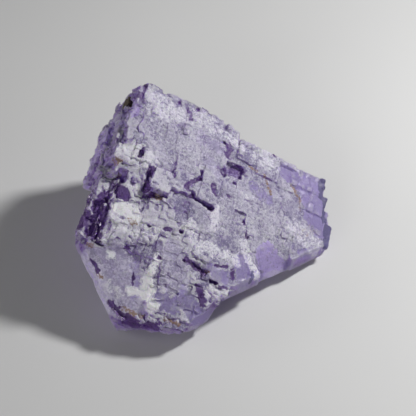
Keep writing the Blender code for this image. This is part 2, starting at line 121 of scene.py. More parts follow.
# Each place has its zone, the two ends of its streak in the lattice, its half width and its strength.
# Crust with a strength over 1 lies so thick that nothing shows through it.
PATCHES: dict[str, Patch] = {
    "crust on the upper left plate": Patch(Zone.CRUST, (-18.6, 5.7, -1.6), (-13.0, 5.0, -1.2), 2.0, 0.9),
    "crust on the peak": Patch(Zone.CRUST, (-16.3, 20.0, -1.1), (-12.5, 19.0, -1.0), 2.2, 0.6),
    "crust along the back": Patch(Zone.CRUST, (-15.6, 16.6, -1.0), (-6.0, 19.4, -0.8), 2.2, 0.6),
    "crust on the back edge": Patch(Zone.CRUST, (-5.0, 19.6, -0.5), (5.1, 17.6, 0.4), 1.8, 0.55),
    "crust on the pale block": Patch(Zone.CRUST, (8.7, 16.5, 0.0), (12.6, 16.8, 0.5), 2.6, 0.5),
    "crust on the left plate": Patch(Zone.CRUST, (-16.6, -1.6, -1.8), (-13.4, -1.8, -1.8), 2.0, 0.8),
    "crust on the lower left plate": Patch(Zone.CRUST, (-15.2, -5.2, -3.2), (-12.6, -6.2, -2.4), 2.0, 1.6),
    "crust on the low left plate": Patch(Zone.CRUST, (-17.0, -9.6, -6.2), (-16.0, -11.6, -6.4), 1.6, 0.7),
    "crust under the left plates": Patch(Zone.CRUST, (-14.6, -8.6, -4.6), (-9.0, -8.0, -3.0), 2.0, 1.0),
    "crust below the middle": Patch(Zone.CRUST, (-1.6, -4.6, -0.6), (1.6, -7.9, -0.6), 1.5, 1.0),
    "crust in the lower middle": Patch(Zone.CRUST, (2.6, -7.4, -0.5), (9.6, -7.6, -0.6), 1.3, 1.0),
    "crust right of the middle": Patch(Zone.CRUST, (2.8, 2.0, -0.7), (3.2, -3.0, -0.3), 0.9, 1.0),
    "crust beside the rim facet": Patch(Zone.CRUST, (10.6, -3.6, -0.3), (14.9, -8.6, -1.3), 1.1, 1.0),
    "crust at the right tip": Patch(Zone.CRUST, (21.0, 5.0, -0.5), (26.4, 3.6, -0.9), 2.6, 0.55),
    "grey crust at the front": Patch(Zone.CRUST, (6.4, -16.0, -1.6), (9.4, -14.8, -1.3), 1.3, 0.9),
    "white spot": Patch(Zone.CRUST, (8.8, 6.9, -0.9), (10.0, 7.4, -0.9), 0.7, 1.5),
    # This white streak is a painted glint.
    "painted glint in the hollow": Patch(Zone.CRUST, (3.4, 11.3, -2.6), (4.6, 12.8, -2.4), 0.5, 1.0),
    "vein, upper part": Patch(Zone.CRUST, (-5.0, -12.6, -4.2), (-5.6, -17.4, -5.9), 1.0, 1.6),
    "vein, lower part": Patch(Zone.CRUST, (-5.4, -17.4, -5.9), (-2.7, -21.3, -6.5), 1.3, 1.6),
    "vein, side branch": Patch(Zone.CRUST, (-7.6, -19.2, -7.9), (-4.4, -20.0, -6.4), 0.9, 1.6),
    "small light cubes on the wall": Patch(Zone.CRUST, (-18.9, 2.1, -5.3), (-17.5, 0.9, -7.0), 0.7, 0.9),
    "small light cubes below them": Patch(Zone.CRUST, (-18.0, -1.5, -7.2), (-17.0, -3.5, -5.6), 0.7, 0.9),
    # The violet on this riser is partly painted shade.
    "violet riser by the peak": Patch(Zone.VIOLET, (-18.2, 21.4, -2.4), (-18.3, 18.0, -2.4), 0.8, 0.55),
    "violet below the peak": Patch(Zone.VIOLET, (-19.0, 20.0, -4.6), (-19.0, 16.4, -4.4), 1.2, 0.5),
    "violet edge at the back": Patch(Zone.VIOLET, (-8.7, 20.8, -1.0), (-7.3, 18.7, -0.8), 0.8, 0.5),
    "dot at the back edge": Patch(Zone.VIOLET, (-10.4, 21.3, -1.0), (-10.3, 21.0, -1.0), 0.4, 0.9),
    "second dot at the back edge": Patch(Zone.VIOLET, (-6.3, 21.5, -0.8), (-6.2, 21.2, -0.8), 0.4, 0.9),
    "pit in the upper left plate": Patch(Zone.VIOLET, (-15.2, 7.2, -1.6), (-15.2, 5.4, -1.4), 0.6, 1.0),
    # The violet on these two risers is partly painted shade.
    "riser left of the centre": Patch(Zone.VIOLET, (-12.3, 3.9, -0.6), (-12.0, -0.6, -1.6), 0.9, 1.0),
    "riser in front of the centre": Patch(Zone.VIOLET, (-12.0, -2.1, -2.2), (-10.4, -1.2, -1.8), 0.55, 1.0),
    "slit in the centre": Patch(Zone.VIOLET, (-7.7, 4.6, 0.3), (-7.6, 3.0, 0.6), 0.3, 0.9),
    "arc, upper arm": Patch(Zone.VIOLET, (-2.3, 6.0, 0.0), (-4.4, 3.5, 0.3), 0.55, 1.0),
    "arc, lower arm": Patch(Zone.VIOLET, (-4.7, 2.7, 0.2), (-2.6, 1.4, -0.6), 0.55, 1.0),
    "arc, end": Patch(Zone.VIOLET, (-1.9, 1.2, -0.8), (1.8, 0.9, -0.6), 0.6, 1.0),
    # The violet on this riser is partly painted shade.
    "riser right of the centre": Patch(Zone.VIOLET, (-2.4, 8.2, -0.4), (-2.1, 7.0, -0.6), 0.4, 0.8),
    "violet left of the hollow": Patch(Zone.VIOLET, (0.6, 5.6, 0.7), (1.6, 4.0, 0.7), 0.55, 1.0),
    "violet above the hollow": Patch(Zone.VIOLET, (1.9, 16.0, -0.1), (2.7, 13.9, -0.1), 1.1, 0.65),
    # The violet in the hollow is partly painted shade.
    "hollow": Patch(Zone.VIOLET, (2.0, 10.0, -0.8), (6.2, 11.9, -1.4), 1.9, 0.55),
    # The bottom of the hollow is painted glow: brighter violet for light passing through the crystal.
    "bottom of the hollow": Patch(Zone.GLOW, (3.4, 10.8, -1.6), (6.0, 11.8, -1.8), 1.0, 0.9),
    # The violet in the crevice is partly painted shade.
    "crevice": Patch(Zone.VIOLET, (3.6, 5.6, -1.0), (5.0, 5.0, -0.4), 0.4, 0.9),
    "dot on the pale block": Patch(Zone.VIOLET, (12.1, 18.5, 0.5), (12.4, 18.3, 0.5), 0.35, 1.0),
    "dots in the middle": Patch(Zone.VIOLET, (9.5, 1.6, -1.0), (10.6, -1.5, -0.5), 0.55, 0.8),
    "specks in the crust": Patch(Zone.VIOLET, (-5.9, -6.9, -1.8), (-4.8, -6.7, -1.5), 0.5, 0.9),
    "specks right of them": Patch(Zone.VIOLET, (-2.9, -6.4, -1.5), (-2.0, -6.2, -1.5), 0.4, 0.9),
    "specks left of them": Patch(Zone.VIOLET, (-9.7, -7.2, -2.2), (-8.8, -7.4, -2.6), 0.4, 0.9),
    "wall below the left plate": Patch(Zone.VIOLET, (-16.8, -1.2, -4.6), (-15.2, -3.0, -3.6), 1.2, 1.0),
    "wall, lower": Patch(Zone.VIOLET, (-17.7, -3.2, -8.4), (-18.2, -10.1, -8.9), 1.9, 1.0),
    "wall, outer": Patch(Zone.VIOLET, (-19.2, -2.0, -11.0), (-19.8, -9.3, -10.4), 2.0, 0.7),
    "facet on the wall": Patch(Zone.CRUST, (-16.9, -6.6, -4.8), (-16.3, -8.8, -4.4), 0.9, 0.6),
    "wall, lowest": Patch(Zone.VIOLET, (-17.4, -10.8, -8.4), (-16.8, -12.2, -7.8), 1.0, 1.0),
    # The violet in this crack is partly painted shade.
    "crack under the left plates": Patch(Zone.VIOLET, (-13.7, -11.2, -7.2), (-10.8, -12.1, -6.1), 0.5, 0.9),
    "crescent on the slope": Patch(Zone.VIOLET, (-16.0, -15.2, -10.5), (-14.2, -16.9, -10.4), 0.55, 0.9),
    "slit in the slope": Patch(Zone.VIOLET, (-8.1, -16.4, -6.9), (-7.4, -18.6, -7.3), 0.3, 0.9),
    "pits of the grey field": Patch(Zone.VIOLET, (-3.4, -16.7, -3.4), (-1.7, -17.1, -4.2), 0.45, 1.0),
    "pit above them": Patch(Zone.VIOLET, (-5.1, -12.4, -3.4), (-4.7, -12.7, -3.5), 0.4, 1.0),
    "pits right of them": Patch(Zone.VIOLET, (-2.5, -15.0, -3.1), (-1.4, -16.0, -3.1), 0.35, 1.0),
    "pit at the right": Patch(Zone.VIOLET, (2.4, -14.3, -3.0), (3.0, -15.7, -3.6), 0.35, 0.9),
    # The violet in this crack and in the creases below is partly painted shade.
    "front crack": Patch(Zone.VIOLET, (0.2, -11.2, -2.2), (4.2, -12.6, -1.9), 0.75, 1.0),
    "crease between the front blocks": Patch(Zone.VIOLET, (5.9, -10.3, -1.0), (8.4, -9.6, -0.9), 0.4, 1.0),
    "crease below it": Patch(Zone.VIOLET, (6.3, -13.5, -2.2), (8.2, -13.6, -1.8), 0.6, 1.0),
    "crease at the front": Patch(Zone.VIOLET, (8.0, -14.3, -1.1), (9.5, -13.9, -0.8), 0.4, 0.9),
    "crease beside the corner cube": Patch(Zone.VIOLET, (9.7, -9.6, -0.8), (10.2, -11.4, -0.8), 0.5, 1.0),
    "low violet": Patch(Zone.VIOLET, (3.9, -15.8, -1.8), (6.4, -18.6, -2.9), 0.9, 0.7),
    "ring at the low end": Patch(Zone.VIOLET, (-9.7, -21.9, -11.6), (-7.6, -23.6, -10.6), 0.8, 1.0),
    "ring at the low end, side": Patch(Zone.VIOLET, (-7.6, -23.8, -10.6), (-5.6, -24.1, -9.8), 0.8, 0.9),
    # The dark violet pocket is partly painted shade.
    "dark pocket": Patch(Zone.VIOLET, (-5.0, -24.2, -11.2), (-0.2, -23.8, -8.4), 1.4, 1.0),
    # The rim facet is painted glow: paler violet for light passing through the crystal.
    "rim facet": Patch(Zone.GLOW, (16.4, -3.4, -1.4), (18.6, -4.0, -2.4), 3.0, 1.0),
    "rim": Patch(Zone.CLEAR, (16.0, -8.4, -1.8), (22.6, -2.8, -2.8), 1.6, 0.9),
    "rim at the tip": Patch(Zone.CLEAR, (24.2, 0.9, -1.0), (28.3, 3.4, -1.9), 1.2, 0.9),
    "corner cube": Patch(Zone.CLEAR, (11.4, -7.8, -0.6), (13.4, -11.0, -1.0), 2.2, 0.9),
    "front blocks": Patch(Zone.CLEAR, (5.1, -11.5, -0.8), (8.6, -12.2, -0.8), 1.6, 0.8),
    "right block, inner": Patch(Zone.CLEAR, (15.6, 16.4, 0.2), (18.4, 15.4, 0.2), 2.0, 0.8),
    "right block, outer": Patch(Zone.CLEAR, (22.0, 16.0, 0.0), (24.6, 10.6, -0.4), 3.2, 1.0),
    "right wall": Patch(Zone.CLEAR, (25.4, 16.0, -3.0), (27.4, 8.0, -4.0), 3.2, 1.0),
    "squares in the middle": Patch(Zone.CLEAR, (9.6, 9.6, -0.1), (13.4, 8.6, -0.1), 1.5, 0.55),
    # The pale haze on the front slope is partly its own lilac-grey and partly painted light for light
    # through the crystal.
    "front slope": Patch(Zone.HAZE, (-14.2, -14.6, -9.0), (-8.0, -20.6, -9.2), 4.6, 1.0),
    "white spot on the slope": Patch(Zone.CRUST, (-13.6, -13.6, -8.2), (-12.8, -13.9, -8.0), 0.8, 1.5),
    "second spot on the slope": Patch(Zone.CRUST, (-11.9, -18.8, -10.2), (-10.9, -19.6, -10.2), 1.1, 0.6),
    "third spot on the slope": Patch(Zone.CRUST, (-9.8, -19.8, -9.2), (-8.6, -21.0, -9.2), 0.9, 0.6),
    "pale edge of the slope": Patch(Zone.CRUST, (-15.4, -14.8, -10.0), (-13.2, -17.6, -10.6), 0.9, 0.45),
    # The bevel and the four flank places are painted glow: paler violet for light passing through the
    # crystal.
    "bevel": Patch(Zone.GLOW, (-16.8, -14.8, -12.6), (-9.9, -21.7, -12.6), 1.8, 0.42),
    "upper flank": Patch(Zone.GLOW, (-20.6, 12.6, -11.0), (-19.6, 15.6, -6.4), 3.6, 0.85),
    "middle flank": Patch(Zone.GLOW, (-20.6, 6.0, -13.6), (-20.4, 9.6, -11.6), 2.4, 0.75),
    "lower flank": Patch(Zone.GLOW, (-20.4, 2.6, -14.4), (-19.8, 3.6, -12.6), 1.2, 0.7),
    "flank by the peak": Patch(Zone.GLOW, (-19.4, 17.4, -3.4), (-19.0, 13.0, -4.4), 1.2, 0.6),
    "blue-grey strip": Patch(Zone.CLEAR, (-8.5, -14.3, -5.6), (-6.0, -20.0, -7.3), 1.3, 0.5),
    "front facet, left": Patch(Zone.CLEAR, (-2.6, -19.6, -5.2), (1.2, -20.6, -4.6), 1.7, 0.9),
    "front facet, right": Patch(Zone.CLEAR, (2.3, -18.0, -3.4), (5.6, -20.4, -3.4), 2.0, 0.9),
    "front facet, low": Patch(Zone.CLEAR, (6.6, -20.2, -5.2), (8.6, -17.0, -9.0), 2.4, 0.8),
    # These four places are painted shade: dark blue-grey on the right edge, the tip and the corner cube.
    "dusk at the right edge": Patch(Zone.PAINTED_SHADE, (24.5, 18.2, 0.0), (25.3, 14.8, 0.0), 0.9, 1.0),
    "dusk below it": Patch(Zone.PAINTED_SHADE, (26.4, 14.6, -0.3), (27.4, 10.6, -0.8), 1.0, 1.0),
    "dusk at the tip": Patch(Zone.PAINTED_SHADE, (28.6, 8.8, -0.9), (29.2, 5.4, -1.2), 1.1, 1.0),
    "dusk at the corner cube": Patch(Zone.PAINTED_SHADE, (14.0, -8.2, -0.8), (14.6, -10.6, -1.6), 0.5, 0.9),
    "dirt by the wall": Patch(Zone.RUST, (-19.0, 3.4, -3.0), (-17.4, 2.0, -5.4), 0.9, 0.8),
    "dirt under the centre": Patch(Zone.RUST, (-10.8, -1.3, -1.8), (-7.2, -1.2, -1.8), 0.7, 0.8),
    "rust at the pale block": Patch(Zone.RUST, (7.7, 13.6, 0.0), (9.2, 13.4, 0.4), 0.45, 0.8),
    "rust line right of it": Patch(Zone.RUST, (11.2, 13.2, 0.2), (13.7, 10.0, 0.0), 0.4, 0.8),
    "rust by the right blocks": Patch(Zone.RUST, (17.5, 14.1, 0.0), (19.7, 12.5, -0.4), 0.5, 0.8),
    "rust below them": Patch(Zone.RUST, (20.2, 12.3, -0.4), (21.2, 9.6, -0.6), 0.4, 0.7),
    "ochre at the right tip": Patch(Zone.RUST, (21.1, 3.9, -0.7), (25.4, 6.9, -0.8), 1.2, 0.4),
    "rust in the crack": Patch(Zone.RUST, (3.2, -12.3, -1.6), (4.8, -12.2, -1.6), 0.5, 0.9),
    "rust on the wall end": Patch(Zone.RUST, (-17.7, -12.8, -10.2), (-15.9, -12.7, -9.3), 0.5, 0.9),
    "dirt in the left crust": Patch(Zone.RUST, (-13.2, -7.2, -3.8), (-11.4, -7.6, -4.2), 0.5, 0.8),
    "rust on the slope edge": Patch(Zone.RUST, (-14.2, -17.3, -10.7), (-13.6, -18.0, -10.7), 0.4, 0.9),
    "rust at the low end": Patch(Zone.RUST, (-7.2, -22.9, -9.9), (-3.6, -23.6, -8.3), 0.7, 0.7),
    "rust right of it": Patch(Zone.RUST, (0.3, -23.2, -5.8), (3.2, -23.2, -5.6), 0.6, 0.7),
    "grey plate": Patch(Zone.HAZE, (-1.0, 10.6, -0.4), (0.6, 8.6, -0.4), 1.5, 0.8),
    "grey streak": Patch(Zone.HAZE, (-4.0, 15.5, -0.6), (0.5, 14.5, -0.2), 2.0, 0.55),
    "sugared field": Patch(Zone.SUGAR, (-11.0, 12.6, -1.0), (-3.0, 9.4, -0.4), 4.6, 1.0),
    "sugared field, right": Patch(Zone.SUGAR, (6.0, 1.0, -0.6), (17.0, 3.0, -0.4), 4.6, 1.0),
    "grey field": Patch(Zone.HAZE, (-3.4, -10.6, -3.6), (0.2, -16.4, -3.6), 2.7, 0.9),
}


@dataclass
class Lattice:
    """The frame of the cubes, and the way from it to the specimen as it lies."""

    face_way: Point = (0.46, -0.33, 0.824)
    row_way: Point = (0.86, -0.063, -0.505)
    face_middle: Point = (0.0, -6.2, 18.1)
    bed_middle: Point = (0.8228, -2.0879, 0.0)
    axes: np.ndarray = field(init=False)
    middle: np.ndarray = field(init=False)

    def __post_init__(self) -> None:
        """Works out the three axes from the way that the stepped face leans."""
        out = Vector(self.face_way).normalized()
        row = Vector(self.row_way)
        row = (row - row.dot(out) * out).normalized()
        self.axes = np.array((row, out.cross(row), out))
        self.middle = np.array(self.face_middle) - np.array(self.bed_middle)

    def from_world(self, points: np.ndarray) -> np.ndarray:
        """Turns points in metres into lattice millimetres.

        Args:
            points: An array of points, one a row.

        Returns:
            The same points in the lattice.
        """
        return (points / MM - self.middle) @ self.axes.T

    def to_world(self, points: np.ndarray) -> np.ndarray:
        """Turns lattice millimetres into points in metres.

        Args:
            points: An array of points, one a row.

        Returns:
            The same points as the specimen lies.
        """
        return (points @ self.axes + self.middle) * MM


class Grain:
    """Seeded noise over arrays of points."""

    KEYS = (73856093, 19349663, 83492791)
    SEED_STRIDE = 7919
    STIRS = ((13, 1274126177), (15, 668265263))
    LAST_SHIFT = 16
    KEPT_BITS = 0x7FFFFFFF
    HIGHEST = 0xFFFF

    @classmethod
    def cells(cls, corners: np.ndarray, seed: int) -> np.ndarray:
        """Gives each whole-numbered cell its own number.

        Args:
            corners: An array of whole numbers, one cell a row.
            seed: Which set of numbers.

        Returns:
            A number from 0 to 1 for each row.
        """
        keys = np.array(cls.KEYS)[: corners.shape[1]]
        mixed = (corners.astype(np.int64) @ keys + seed * cls.SEED_STRIDE) & cls.KEPT_BITS
        for shift, factor in cls.STIRS:
            mixed = ((mixed ^ (mixed >> shift)) * factor) & cls.KEPT_BITS
        return ((mixed ^ (mixed >> cls.LAST_SHIFT)) & cls.HIGHEST) / cls.HIGHEST

    @classmethod
    def soft(cls, points: np.ndarray, size: float, seed: int) -> np.ndarray:
        """Smooth noise.

        Args:
            points: An array of points, one a row.
            size: The width of its swells.
            seed: Which noise.

        Returns:
            A number from 0 to 1 for each point.
        """
        scaled = points / size + 0.37
        base = np.floor(scaled).astype(np.int64)
        part = scaled - base
        part = part * part * (3 - 2 * part)
        total = np.zeros(len(points))
        for corner in product((0, 1), repeat=points.shape[1]):
            share = np.prod(np.where(np.array(corner) == 1, part, 1 - part), axis=1)
            total += share * cls.cells(base + np.array(corner), seed)
        return total

    @classmethod
    def layered(cls, points: np.ndarray, *layers: tuple[float, float, int]) -> np.ndarray:
        """Adds up noises of several sizes.

        Args:
            points: An array of points, one a row.
            layers: The share, the width of the swells and the seed of each noise.

        Returns:
            The sum for each point.
        """
        return sum(share * cls.soft(points, size, seed) for share, size, seed in layers)

    @classmethod
    def blocks(cls, across: np.ndarray, deep: np.ndarray, size: float, seed: int) -> np.ndarray:
        """Square fields, each of one value, laid like bricks of mixed width.

        Args:
            across: The places along the rows.
            deep: The places across the rows.
            size: The width of a field.
            seed: Which pattern.

        Returns:
            A number from 0 to 1 for each place.
        """
        row = np.floor(deep / size + cls.cells(np.floor(across / (size * 3.1))[:, None], seed + 5))
        shift = cls.cells(row[:, None], seed + 1)
        column = np.floor(across / size + shift * 3.0)
        return cls.cells(np.stack((column, row), axis=1), seed)

    @staticmethod
    def step(values: np.ndarray, low: float, high: float) -> np.ndarray:
        """Rises smoothly from 0 at low to 1 at high."""
        part = np.clip((values - low) / (high - low), 0, 1)
        return part * part * (3 - 2 * part)


def deselect_all() -> None:
    """Leaves nothing selected and nothing active."""
    bpy.ops.object.select_all(action="DESELECT")
    bpy.context.view_layer.objects.active = None


def select_only(piece: bpy.types.Object) -> None:
    """Selects one object and makes it the active one.

    Args:
        piece: The object.
    """
    deselect_all()
    piece.select_set(True)
    bpy.context.view_layer.objects.active = piece


def copy_solid(node: str, name: str) -> bpy.types.Object:
    """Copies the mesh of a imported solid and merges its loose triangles.

    Args:
        node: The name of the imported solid.
        name: The name of the new piece.

    Returns:
        The new piece.
    """
    source = bpy.data.objects[node]
    piece = bpy.data.objects.new(name, source.data.copy())
    bpy.context.scene.collection.objects.link(piece)
    select_only(piece)
    bpy.ops.object.mode_set(mode="EDIT")
    bpy.ops.mesh.select_all(action="SELECT")
    bpy.ops.mesh.remove_doubles(threshold=2e-6)
    bpy.ops.object.mode_set(mode="OBJECT")
    piece.data.materials.clear()
    return piece


def places(piece: bpy.types.Object) -> np.ndarray:
    """Reads where the vertices of a piece are.

    Args:
        piece: The piece.

    Returns:
        The vertices, one a row.
    """
    flat = np.zeros(len(piece.data.vertices) * 3)
    piece.data.vertices.foreach_get("co", flat)
    return flat.reshape(-1, 3)


def place(piece: bpy.types.Object, points: np.ndarray) -> None:
    """Moves the vertices of a piece.

    Args:
        piece: The piece.
        points: Where each vertex goes, one a row.
    """
    piece.data.vertices.foreach_set("co", points.reshape(-1))
    piece.data.update()


def directions(piece: bpy.types.Object) -> np.ndarray:
    """Reads which way each vertex of a piece faces.

    Args:
        piece: The piece.

    Returns:
        The directions, one a row.
    """
    flat = np.zeros(len(piece.data.vertices) * 3)
    piece.data.vertex_normals.foreach_get("vector", flat)
    return flat.reshape(-1, 3)


def remesh(piece: bpy.types.Object, voxel: float) -> None:
    """Makes one closed skin around everything in a piece.

    Args:
        piece: The piece.
        voxel: The width of the new faces, in the piece's own units.
    """
    select_only(piece)
    modifier = piece.modifiers.new("Skin", "REMESH")
    modifier.mode = "VOXEL"
    modifier.voxel_size = voxel
    modifier.adaptivity = 0.0
    bpy.ops.object.modifier_apply(modifier=modifier.name)


def thin_out(piece: bpy.types.Object, most: int) -> None:
    """Lowers the number of triangles where the surface is flat.

    Args:
        piece: The piece.
        most: How many triangles may stay.
    """
    count = sum(len(face.vertices) - 2 for face in piece.data.polygons)
    if count <= most:
        return
    select_only(piece)
    modifier = piece.modifiers.new("Thin", "DECIMATE")
    modifier.ratio = most / count
    bpy.ops.object.modifier_apply(modifier=modifier.name)


def set_attribute(piece: bpy.types.Object, name: str, values: np.ndarray) -> None:
    """Stores one number for each vertex of a piece.

    Args:
        piece: The piece.
        name: The name that the material reads.
        values: The numbers.
    """
    attribute = piece.data.attributes.new(name, "FLOAT", "POINT")
    attribute.data.foreach_set("value", values.astype(np.float32))


class Nodes:
    """A short way to write the nodes of one material."""

    def __init__(self, name: str) -> None:
        """Starts a material with one shader.

        Args:
            name: The name of the material.
        """
        self.material = bpy.data.materials.new(name)
        self.material.use_nodes = True
        self.tree = self.material.node_tree
        self.shader = self.tree.nodes["Principled BSDF"]
        self.output = self.tree.nodes["Material Output"]
        self.coordinates = self.tree.nodes.new("ShaderNodeTexCoord").outputs["Object"]

    def link(self, value: object, socket: bpy.types.NodeSocket) -> None:
        """Links an output to a socket, or sets a plain value on it.

        Args:
            value: An output socket, a number or a colour.
            socket: The socket that takes it.
        """
        if isinstance(value, bpy.types.NodeSocket):
            self.tree.links.new(value, socket)
        elif isinstance(value, tuple) and len(value) == 3 and socket.type == "RGBA":
            socket.default_value = (*value, 1.0)
        else:
            socket.default_value = value

    def math(self, operation: str, first: object, second: object = 0.0) -> bpy.types.NodeSocket:
        """Adds a Math node.

        Args:
            operation: The name of what it does.
            first: Its first value.
            second: Its second value.

        Returns:
            Its output.
        """
        node = self.tree.nodes.new("ShaderNodeMath")
        node.operation = operation
        self.link(first, node.inputs[0])
        self.link(second, node.inputs[1])
        return node.outputs[0]

    def ramp(
        self, value: object, low: float, high: float, bottom: float = 0.0, top: float = 1.0
    ) -> bpy.types.NodeSocket:
        """Maps a value smoothly from one range to another.

        Args:
            value: The value.
            low: Where the rise starts.
            high: Where it ends.
            bottom: What it gives at and below low.
            top: What it gives at and above high.

        Returns:
            The output socket.
        """
        node = self.tree.nodes.new("ShaderNodeMapRange")
        node.interpolation_type = "SMOOTHSTEP"
        self.link(value, node.inputs["Value"])
        for name, number in zip(("From Min", "From Max", "To Min", "To Max"), (low, high, bottom, top)):
            node.inputs[name].default_value = number
        return node.outputs["Result"]

    def noise(
        self, size: float, detail: float = 3.0, roughness: float = 0.6, offset: float = 0.0
    ) -> bpy.types.NodeSocket:
        """Adds noise on the object's own coordinates.

        Args:
            size: The width of its swells in millimetres.
            detail: How many finer layers it has.
            roughness: How strong those are.
            offset: Moves it along, so that two noises of one size differ.

        Returns:
            The output socket.
        """
        node = self.tree.nodes.new("ShaderNodeTexNoise")
        node.noise_dimensions = "4D"
        self.link(self.coordinates, node.inputs["Vector"])
        node.inputs["W"].default_value = offset
        node.inputs["Scale"].default_value = 1.0 / (size * MM)
        node.inputs["Detail"].default_value = detail
        node.inputs["Roughness"].default_value = roughness
        return node.outputs["Fac"]

    def attribute(self, name: str) -> bpy.types.NodeSocket:
        """Reads a number that the mesh stores for each vertex.

        Args:
            name: The name of the number.

        Returns:
            Its output.
        """
        node = self.tree.nodes.new("ShaderNodeAttribute")
        node.attribute_name = name
        return node.outputs["Fac"]

    def mix(self, factor: object, first: object, second: object) -> bpy.types.NodeSocket:
        """Mixes two colours.

        Args:
            factor: How much of the second.
            first: The first colour.
            second: The second colour.

        Returns:
            The mixed colour.
        """
        node = self.tree.nodes.new("ShaderNodeMix")
        node.data_type = "RGBA"
        # Its sockets 6 and 7 take colours, and 2 and 3 take numbers.
        self.link(factor, node.inputs[0])
        self.link(first, node.inputs[6])
        self.link(second, node.inputs[7])
        return node.outputs[2]

    def tint(self, colour: object, share: object, most: object, shade: object) -> bpy.types.NodeSocket:
        """Lays a second colour over a first one.

        Args:
            colour: The first colour.
            share: Where the second colour shows, from 0 to 1.
            most: How much of it shows where share is 1.
            shade: The second colour.

        Returns:
            The mixed colour.
        """
        return self.mix(self.math("MULTIPLY", share, most), colour, shade)

    def blend(self, factor: object, first: object, second: object) -> bpy.types.NodeSocket:
        """Mixes two numbers.

        Args:
            factor: How much of the second.
            first: The first number.
            second: The second number.

        Returns:
            The mixed number.
        """
        node = self.tree.nodes.new("ShaderNodeMix")
        self.link(factor, node.inputs[0])
        self.link(first, node.inputs[2])
        self.link(second, node.inputs[3])
        return node.outputs[0]

    def bump(self, height: object, distance: float, strength: object = 1.0) -> bpy.types.NodeSocket:
        """Adds a Bump node.

        Args:
            height: The height.
            distance: How high a height of 1 is, in millimetres.
            strength: How much of it shows.

        Returns:
            The normal.
        """
        node = self.tree.nodes.new("ShaderNodeBump")
        self.link(height, node.inputs["Height"])
        self.link(strength, node.inputs["Strength"])
        node.inputs["Distance"].default_value = distance * MM
        return node.outputs["Normal"]


# How much light goes into each zone. The later ones lie over the earlier ones.
SEE_THROUGH: dict[Zone, float] = {
    Zone.CLEAR: 0.45,
    Zone.GLOW: 0.4,
    Zone.HAZE: 0.2,
    Zone.CRUST: 0.05,
    Zone.RUST: 0.1,
    Zone.VIOLET: 0.55,
}

# How dull each zone is, in the same order.
ROUGHNESS: dict[Zone, float] = {
    Zone.CLEAR: 0.3,
    Zone.GLOW: 0.3,
    Zone.CRUST: 0.8,
    Zone.VIOLET: 0.3,
}


@dataclass(frozen=True)
class Marks:
    """What the material of the fluorite reads at each place of the surface, from 0 to 1."""

    zones: dict[Zone, bpy.types.NodeSocket]
    tread: bpy.types.NodeSocket
    # hollow is where violet painted shade darkens the recesses.
    hollow: bpy.types.NodeSocket
    ridge: bpy.types.NodeSocket
    flecks: bpy.types.NodeSocket
    fine: bpy.types.NodeSocket


